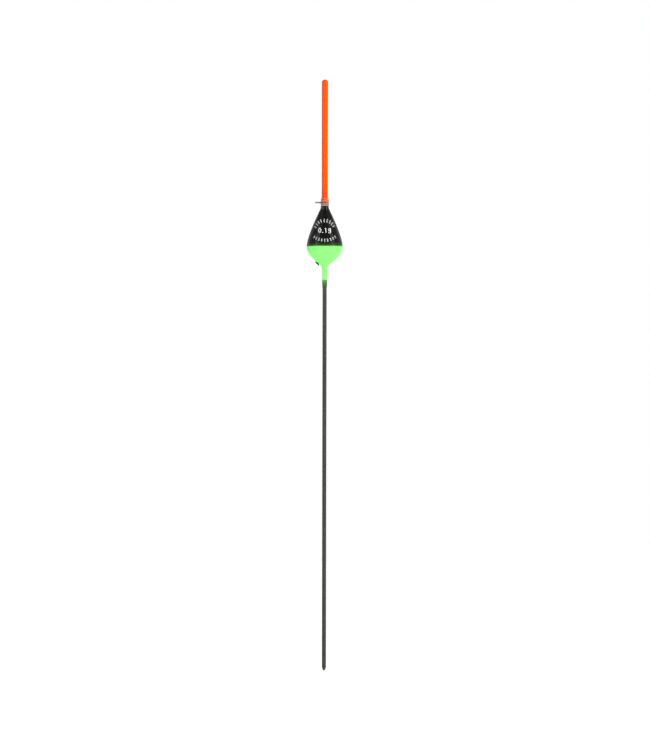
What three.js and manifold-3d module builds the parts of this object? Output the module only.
// A stick bobber float: one thin stem runs through a teardrop body and up into a hollow antenna.
// Units are millimetres, +Z is up, and the origin is the centre of the stem's bottom end.
import * as THREE from "three";
import { mergeVertices } from "three/addons/utils/BufferGeometryUtils.js";
import Module from "manifold-3d";

const wasm = await Module();
wasm.setup();

// ---------------------------------------------------------------- driving dimensions
const FLOAT_HEIGHT = 130;
const STEM_RADIUS = 0.46;
const BODY_RADIUS = 3.98;
const BODY_WIDEST_Z = 93.2;
const BODY_TOP_RADIUS = 0.86;
const BODY_TOP_Z = 102.25;
const NECK_RADIUS = 0.57;
const NECK_TOP_Z = 88;
const NECK_BOTTOM_Z = 86;
const SEAL_COAT_BOTTOM_Z = 84.2;
const SEAL_COAT_RADIUS = 0.55;
const COAT = 0.12;
const COLOUR_LINE_Z = 93.36;
const ANTENNA_TOP_RADIUS = 0.7;
const ANTENNA_BOTTOM_RADIUS = 0.675;
const ANTENNA_DOME_HEIGHT = 0.6;
const WIRE_RADIUS = 0.17;
const EYE_Z = 102.93;
const EYE_OFFSET = 1.52;
const EYE_OUTER_RADIUS = 0.6;
const COLLAR_RADIUS = 0.91;
const COLLAR_TOP_Z = 104.3;
const LINE_TUBE_RADIUS = 0.4;
const LINE_TUBE_BORE_RADIUS = 0.225;
const LINE_TUBE_OFFSET = 1.64;

// ---------------------------------------------------------------- clearances and mesh fineness
const BOND = 0.02;
const WELD_DISTANCE = 1e-5;
const SIDES = 48;
const SMALL_SIDES = 24;
const WIRE_SIDES = 12;

// ---------------------------------------------------------------- dimensions that follow
const SLEEVED_RADIUS = STEM_RADIUS + BOND;
const WRAP_RADIUS = SLEEVED_RADIUS + WIRE_RADIUS;
const WRAP_TURNS = 1.3;
const WRAP_PITCH = 2 * WIRE_RADIUS + BOND;
const WRAP_BOTTOM_Z = EYE_Z - WRAP_TURNS * WRAP_PITCH;
const EYE_RADIUS = EYE_OUTER_RADIUS - WIRE_RADIUS;
const ANTENNA_BOTTOM_Z = EYE_Z + WIRE_RADIUS + BOND;
const ANTENNA_DOME_Z = FLOAT_HEIGHT - ANTENNA_DOME_HEIGHT;
const STEM_IN_ANTENNA = 5;
const STEM_TOP_Z = ANTENNA_BOTTOM_Z + STEM_IN_ANTENNA;

// ---------------------------------------------------------------- materials
function finish(color, roughness, metalness = 0, opacity = 1) {
  return new THREE.MeshStandardMaterial({
    color,
    roughness,
    metalness,
    opacity,
    transparent: opacity < 1,
    side: THREE.DoubleSide,
  });
}

const FINISHES = {
  stem: finish("#3a3b33", 0.55),
  body_core: finish("#dcc79a", 0.85),
  black_coat: finish("#0c0c0b", 0.22),
  green_coat: finish("#5cfb4c", 0.3),
  seal_coat: finish("#3c7030", 0.3),
  line_tube: finish("#1c3519", 0.45),
  eye_wire: finish("#a3a39f", 0.28, 1),
  collar: finish("#dcc9ae", 0.2, 0, 0.45),
  antenna: finish("#ff5a08", 0.45),
};

const float = new THREE.Group();
float.name = "bobber_float";

function addPiece(name, geometry, material) {
  const mesh = new THREE.Mesh(geometry, material);
  mesh.name = name;
  float.add(mesh);
}

// ---------------------------------------------------------------- shape helpers
// Turns a closed outline of [radius, z] points about the float's own axis.
function turned(outline, sides = SIDES) {
  const points = outline.map(([radius, z]) => new THREE.Vector2(radius, z));
  const geometry = new THREE.LatheGeometry(points, sides);
  geometry.rotateX(Math.PI / 2);
  return outwardFacing(geometry);
}

// A plain tube or rod between two heights, parallel to the axis and moved along X.
function tubeAt(x, outerRadius, innerRadius, bottomZ, topZ, sides = SMALL_SIDES) {
  const outline = [
    [innerRadius, bottomZ],
    [outerRadius, bottomZ],
    [outerRadius, topZ],
    [innerRadius, topZ],
  ];
  if (innerRadius > 0) {
    outline.push([innerRadius, bottomZ]);
  }
  return turned(outline, sides).translate(x, 0, 0);
}

function signedVolume(geometry) {
  const position = geometry.attributes.position;
  const corners = [new THREE.Vector3(), new THREE.Vector3(), new THREE.Vector3()];
  let volume = 0;
  for (let i = 0; i < geometry.index.count; i += 3) {
    corners.forEach((corner, k) => corner.fromBufferAttribute(position, geometry.index.getX(i + k)));
    volume += corners[0].dot(corners[1].cross(corners[2])) / 6;
  }
  return volume;
}

// Welds a mesh and makes sure its faces point out of the solid.
function outwardFacing(geometry) {
  geometry.deleteAttribute("normal");
  geometry.deleteAttribute("uv");
  const welded = withoutSlivers(mergeVertices(geometry, WELD_DISTANCE));
  if (signedVolume(welded) < 0) {
    const index = welded.index.array;
    for (let i = 0; i < index.length; i += 3) {
      [index[i], index[i + 1]] = [index[i + 1], index[i]];
    }
  }
  welded.computeVertexNormals();
  return welded;
}

// Drops the triangles that lost a corner when the vertices on the axis were welded.
function withoutSlivers(geometry) {
  const kept = [];
  const index = geometry.index.array;
  for (let i = 0; i < index.length; i += 3) {
    const [a, b, c] = [index[i], index[i + 1], index[i + 2]];
    if (a !== b && b !== c && c !== a) {
      kept.push(a, b, c);
    }
  }
  geometry.setIndex(kept);
  return geometry;
}

function toSolid(geometry) {
  return new wasm.Manifold(new wasm.Mesh({
    numProp: 3,
    vertProperties: Float32Array.from(geometry.attributes.position.array),
    triVerts: Uint32Array.from(geometry.index.array),
  }));
}

function toGeometry(solid) {
  const mesh = solid.getMesh();
  const geometry = new THREE.BufferGeometry();
  geometry.setAttribute("position", new THREE.BufferAttribute(mesh.vertProperties, 3));
  geometry.setIndex(new THREE.BufferAttribute(mesh.triVerts, 1));
  geometry.computeVertexNormals();
  return geometry;
}

function cut(geometry, ...cutters) {
  const solid = cutters.reduce((left, cutter) => left.subtract(toSolid(cutter)), toSolid(geometry));
  return toGeometry(solid);
}

// One cubic curve of [radius, z] points between two knots. A knot is a point that the outline passes
// through at an angle, in degrees from straight up, leaning outward. Its pulls are how far the curves
// below and above it hold on to that direction.
function blend(start, end, pieces) {
  const along = ({ angle }, length) => [
    Math.sin(THREE.MathUtils.degToRad(angle)) * length,
    Math.cos(THREE.MathUtils.degToRad(angle)) * length,
  ];
  const leave = along(start, start.pullAbove);
  const arrive = along(end, end.pullBelow);
  const curve = new THREE.CubicBezierCurve(
    new THREE.Vector2(...start.at),
    new THREE.Vector2(start.at[0] + leave[0], start.at[1] + leave[1]),
    new THREE.Vector2(end.at[0] - arrive[0], end.at[1] - arrive[1]),
    new THREE.Vector2(...end.at),
  );
  return curve.getPoints(pieces).map((point) => [point.x, point.y]);
}

// Moves an upward-running outline inward by a wall thickness.
function inset(outline, wall) {
  return outline.map(([radius, z], i) => {
    const before = outline[Math.max(i - 1, 0)];
    const after = outline[Math.min(i + 1, outline.length - 1)];
    const run = [after[0] - before[0], after[1] - before[1]];
    const length = Math.hypot(run[0], run[1]);
    return [radius - (wall * run[1]) / length, z + (wall * run[0]) / length];
  });
}

// The point of an upward-running outline at a given height.
function pointAtHeight(outline, z) {
  const i = Math.max(1, outline.findIndex((point) => point[1] >= z));
  const [below, above] = [outline[i - 1], outline[i]];
  const share = (z - below[1]) / (above[1] - below[1]);
  return [below[0] + share * (above[0] - below[0]), z];
}

function between(outline, bottomZ, topZ) {
  const minStep = 0.02;
  const inner = outline.filter(([, z]) => z > bottomZ + minStep && z < topZ - minStep);
  return [pointAtHeight(outline, bottomZ), ...inner, pointAtHeight(outline, topZ)];
}

// ---------------------------------------------------------------- body outline, from neck to top
const NECK_KNOT = { at: [NECK_RADIUS, NECK_TOP_Z], angle: 0, pullAbove: 0.88 };
const FLANK_KNOT = { at: [1.52, 89.64], angle: 51.5, pullBelow: 0.9, pullAbove: 1.54 };
const WIDEST_KNOT = { at: [BODY_RADIUS, BODY_WIDEST_Z], angle: 0, pullBelow: 1.43, pullAbove: 1.4 };
const SHOULDER_KNOT = { at: [1.05, 101.36], angle: -26, pullBelow: 4.47, pullAbove: 0.31 };
const TOP_KNOT = { at: [BODY_TOP_RADIUS, BODY_TOP_Z], angle: 0, pullBelow: 0.3 };

const bodyOutline = [
  ...blend(NECK_KNOT, FLANK_KNOT, 8),
  ...blend(FLANK_KNOT, WIDEST_KNOT, 12).slice(1),
  ...blend(WIDEST_KNOT, SHOULDER_KNOT, 14).slice(1),
  ...blend(SHOULDER_KNOT, TOP_KNOT, 5).slice(1),
];

const coatBackOutline = inset(bodyOutline, COAT);
const coreOutline = inset(bodyOutline, COAT + BOND);
const CORE_BOTTOM_Z = 88.95;
const CORE_TOP_Z = BODY_TOP_Z - COAT;

function bodyCore() {
  const skin = between(coreOutline, CORE_BOTTOM_Z, CORE_TOP_Z - BOND);
  const outline = [
    [SLEEVED_RADIUS, CORE_BOTTOM_Z],
    ...skin,
    [SLEEVED_RADIUS, CORE_TOP_Z - BOND],
    [SLEEVED_RADIUS, CORE_BOTTOM_Z],
  ];
  return turned(outline);
}

// The top coat ends at the colour line and turns in over the core's top end.
function blackTopCoat() {
  const front = between(bodyOutline, COLOUR_LINE_Z + BOND, BODY_TOP_Z);
  const back = between(coatBackOutline, COLOUR_LINE_Z + BOND, CORE_TOP_Z).reverse();
  const outline = [
    ...front,
    [SLEEVED_RADIUS, BODY_TOP_Z],
    [SLEEVED_RADIUS, CORE_TOP_Z],
    ...back,
  ];
  return turned([...outline, outline[0]]);
}

// The bottom coat covers the flank, closes under the core and runs down the neck to the seal coat.
function greenBottomCoat() {
  const front = between(bodyOutline, NECK_TOP_Z, COLOUR_LINE_Z);
  const underCore = CORE_BOTTOM_Z - BOND;
  const back = between(coatBackOutline, underCore, COLOUR_LINE_Z).reverse();
  const edgeDrop = 0.01;
  const edgeHeight = 0.04;
  const outline = [
    [SLEEVED_RADIUS, NECK_BOTTOM_Z],
    [NECK_RADIUS - edgeDrop, NECK_BOTTOM_Z],
    [NECK_RADIUS, NECK_BOTTOM_Z + edgeHeight],
    ...front,
    ...back,
    [SLEEVED_RADIUS, underCore],
  ];
  return turned([...outline, outline[0]]);
}

// The thin first coat runs out below the green one, getting thinner towards its lower edge.
function neckSealCoat() {
  const topZ = NECK_BOTTOM_Z - BOND;
  const edgeWall = 0.03;
  const edgeHeight = 0.3;
  const outline = [
    [SLEEVED_RADIUS, SEAL_COAT_BOTTOM_Z],
    [SLEEVED_RADIUS + edgeWall, SEAL_COAT_BOTTOM_Z],
    [SEAL_COAT_RADIUS - BOND, SEAL_COAT_BOTTOM_Z + edgeHeight],
    [SEAL_COAT_RADIUS, topZ],
    [SLEEVED_RADIUS, topZ],
    [SLEEVED_RADIUS, SEAL_COAT_BOTTOM_Z],
  ];
  return turned(outline);
}

// ---------------------------------------------------------------- stem
function stem() {
  const pointFlat = 0.16;
  const pointHeight = 0.42;
  const pointDrop = 0.08;
  const chamfer = 0.1;
  const outline = [
    [0, 0],
    [pointFlat, 0],
    [STEM_RADIUS - pointDrop, pointHeight],
    [STEM_RADIUS, 2 * pointHeight],
    [STEM_RADIUS, STEM_TOP_Z - chamfer],
    [STEM_RADIUS - chamfer, STEM_TOP_Z],
    [0, STEM_TOP_Z],
  ];
  return turned(outline);
}

// ---------------------------------------------------------------- antenna
const PLUG_RIM = 0.3;
const PLUG_SHANK = 2;
const ANTENNA_TUBE_TOP_Z = ANTENNA_DOME_Z - PLUG_RIM;

function antennaTube() {
  const outline = [
    [SLEEVED_RADIUS, ANTENNA_BOTTOM_Z],
    [ANTENNA_BOTTOM_RADIUS, ANTENNA_BOTTOM_Z],
    [ANTENNA_TOP_RADIUS, ANTENNA_TUBE_TOP_Z],
    [SLEEVED_RADIUS, ANTENNA_TUBE_TOP_Z],
    [SLEEVED_RADIUS, ANTENNA_BOTTOM_Z],
  ];
  return turned(outline);
}

// The plug's head is the antenna's round tip, and its shank is pushed into the tube.
function antennaEndPlug() {
  const shankRadius = STEM_RADIUS;
  const shankBottomZ = ANTENNA_TUBE_TOP_Z - PLUG_SHANK;
  const chamfer = 0.1;
  const steps = 8;
  const dome = [];
  for (let i = 0; i < steps; i += 1) {
    const angle = (Math.PI / 2) * (i / steps);
    dome.push([
      ANTENNA_TOP_RADIUS * Math.cos(angle),
      ANTENNA_DOME_Z + ANTENNA_DOME_HEIGHT * Math.sin(angle),
    ]);
  }
  const outline = [
    [0, shankBottomZ],
    [shankRadius - chamfer, shankBottomZ],
    [shankRadius, shankBottomZ + chamfer],
    [shankRadius, ANTENNA_TUBE_TOP_Z + BOND],
    [ANTENNA_TOP_RADIUS, ANTENNA_TUBE_TOP_Z + BOND],
    ...dome,
    [0, FLOAT_HEIGHT],
  ];
  return turned(outline);
}

// ---------------------------------------------------------------- line eye
// The wire leaves its wraps on one side of the float's axis and meets the ring on the other,
// like a crossed belt between two pulleys, so the ring lies flat beside the collar.
const CROSSING_ANGLE = Math.acos((WRAP_RADIUS + EYE_RADIUS) / EYE_OFFSET);

function wrapPoint(angle, z) {
  return new THREE.Vector3(WRAP_RADIUS * Math.cos(angle), WRAP_RADIUS * Math.sin(angle), z);
}

function ringPoint(angle) {
  const ringX = EYE_RADIUS * Math.cos(angle) - EYE_OFFSET;
  return new THREE.Vector3(ringX, EYE_RADIUS * Math.sin(angle), EYE_Z);
}

const LEG_START_ANGLE = Math.PI - CROSSING_ANGLE;
const LEG_END_ANGLE = -CROSSING_ANGLE;

function eyeWirePath() {
  const pointsPerTurn = 16;
  const ringSweep = THREE.MathUtils.degToRad(275);
  const points = [];
  const wrapSteps = Math.round(WRAP_TURNS * pointsPerTurn);
  for (let i = 0; i <= wrapSteps; i += 1) {
    const share = i / wrapSteps;
    const angle = LEG_START_ANGLE - (1 - share) * WRAP_TURNS * 2 * Math.PI;
    points.push(wrapPoint(angle, THREE.MathUtils.lerp(WRAP_BOTTOM_Z, EYE_Z, share)));
  }
  const legSteps = 4;
  const legStart = wrapPoint(LEG_START_ANGLE, EYE_Z);
  const legEnd = ringPoint(LEG_END_ANGLE);
  for (let i = 1; i < legSteps; i += 1) {
    points.push(legStart.clone().lerp(legEnd, i / legSteps));
  }
  const ringSteps = Math.round((ringSweep / (2 * Math.PI)) * pointsPerTurn);
  for (let i = 0; i <= ringSteps; i += 1) {
    points.push(ringPoint(LEG_END_ANGLE - (i / ringSteps) * ringSweep));
  }
  return new THREE.CatmullRomCurve3(points);
}

function circleShape(radius, sides) {
  const shape = new THREE.Shape();
  for (let i = 0; i < sides; i += 1) {
    const angle = (i / sides) * 2 * Math.PI;
    const point = [radius * Math.cos(angle), radius * Math.sin(angle)];
    if (i === 0) {
      shape.moveTo(...point);
    } else {
      shape.lineTo(...point);
    }
  }
  shape.closePath();
  return shape;
}

function wireAlong(path, radius, steps) {
  const geometry = new THREE.ExtrudeGeometry(circleShape(radius, WIRE_SIDES), {
    extrudePath: path,
    steps,
    bevelEnabled: false,
  });
  return outwardFacing(geometry);
}

function lineEye() {
  const steps = 110;
  return wireAlong(eyeWirePath(), WIRE_RADIUS, steps);
}

// ---------------------------------------------------------------- collar sleeve
// A clear sleeve grips the antenna's bottom end and the wraps, and is notched for the wire's leg.
const COLLAR_BOTTOM_Z = BODY_TOP_Z + BOND;

function legClearance() {
  const leg = new THREE.LineCurve3(wrapPoint(LEG_START_ANGLE, EYE_Z), ringPoint(LEG_END_ANGLE));
  return wireAlong(leg, WIRE_RADIUS + BOND, 1);
}

function collarSleeve() {
  const edgeWall = 0.03;
  const hemHeight = 0.25;
  const shoulderHeight = 1.1;
  const wrapBore = WRAP_RADIUS + WIRE_RADIUS + BOND;
  const antennaBore = ANTENNA_BOTTOM_RADIUS + BOND;
  const shoulder = { at: [COLLAR_RADIUS, COLLAR_BOTTOM_Z + shoulderHeight], angle: 0, pullAbove: 0.2 };
  const edge = { at: [antennaBore + edgeWall, COLLAR_TOP_Z], angle: -3, pullBelow: 0.5 };
  const outline = [
    [wrapBore, COLLAR_BOTTOM_Z],
    [BODY_TOP_RADIUS, COLLAR_BOTTOM_Z],
    [COLLAR_RADIUS, COLLAR_BOTTOM_Z + hemHeight],
    ...blend(shoulder, edge, 6),
    [antennaBore, COLLAR_TOP_Z],
    [antennaBore, ANTENNA_BOTTOM_Z],
    [wrapBore, ANTENNA_BOTTOM_Z - BOND],
    [wrapBore, COLLAR_BOTTOM_Z],
  ];
  return cut(turned(outline), legClearance());
}

// ---------------------------------------------------------------- line passage through the body
function linePassage() {
  return tubeAt(-LINE_TUBE_OFFSET, LINE_TUBE_RADIUS + BOND, 0, NECK_TOP_Z, BODY_TOP_Z);
}

// Everything inside the upper body's skin, carried straight down past the lower flank.
function tubeEnvelope() {
  const upper = between(bodyOutline, COLOUR_LINE_Z, BODY_TOP_Z);
  return turned([
    [0, SEAL_COAT_BOTTOM_Z],
    [upper[0][0], SEAL_COAT_BOTTOM_Z],
    ...upper,
    [0, BODY_TOP_Z],
  ]);
}

// The tube's lower end is trimmed at a slant, a little below the flank it comes out of.
function slantedTrim() {
  const endCentreZ = 89.33;
  const slant = THREE.MathUtils.degToRad(45);
  const size = 6;
  const block = new THREE.BoxGeometry(size, size, size);
  block.translate(0, 0, -size / 2);
  block.rotateY(slant);
  block.translate(-LINE_TUBE_OFFSET, 0, endCentreZ);
  return outwardFacing(block);
}

function lineTube() {
  const [outer, bore] = [LINE_TUBE_RADIUS, LINE_TUBE_BORE_RADIUS];
  const tube = tubeAt(-LINE_TUBE_OFFSET, outer, bore, NECK_TOP_Z, BODY_TOP_Z);
  const trimmed = toSolid(tube).intersect(toSolid(tubeEnvelope())).subtract(toSolid(slantedTrim()));
  return toGeometry(trimmed);
}

// ---------------------------------------------------------------- assembly
addPiece("stem", stem(), FINISHES.stem);
addPiece("body_core", cut(bodyCore(), linePassage()), FINISHES.body_core);
addPiece("black_top_coat", cut(blackTopCoat(), linePassage()), FINISHES.black_coat);
addPiece("green_bottom_coat", cut(greenBottomCoat(), linePassage()), FINISHES.green_coat);
addPiece("neck_seal_coat", neckSealCoat(), FINISHES.seal_coat);
addPiece("line_tube", lineTube(), FINISHES.line_tube);
addPiece("line_eye", lineEye(), FINISHES.eye_wire);
addPiece("collar_sleeve", collarSleeve(), FINISHES.collar);
addPiece("antenna_tube", antennaTube(), FINISHES.antenna);
addPiece("antenna_end_plug", antennaEndPlug(), FINISHES.antenna);

export default float;
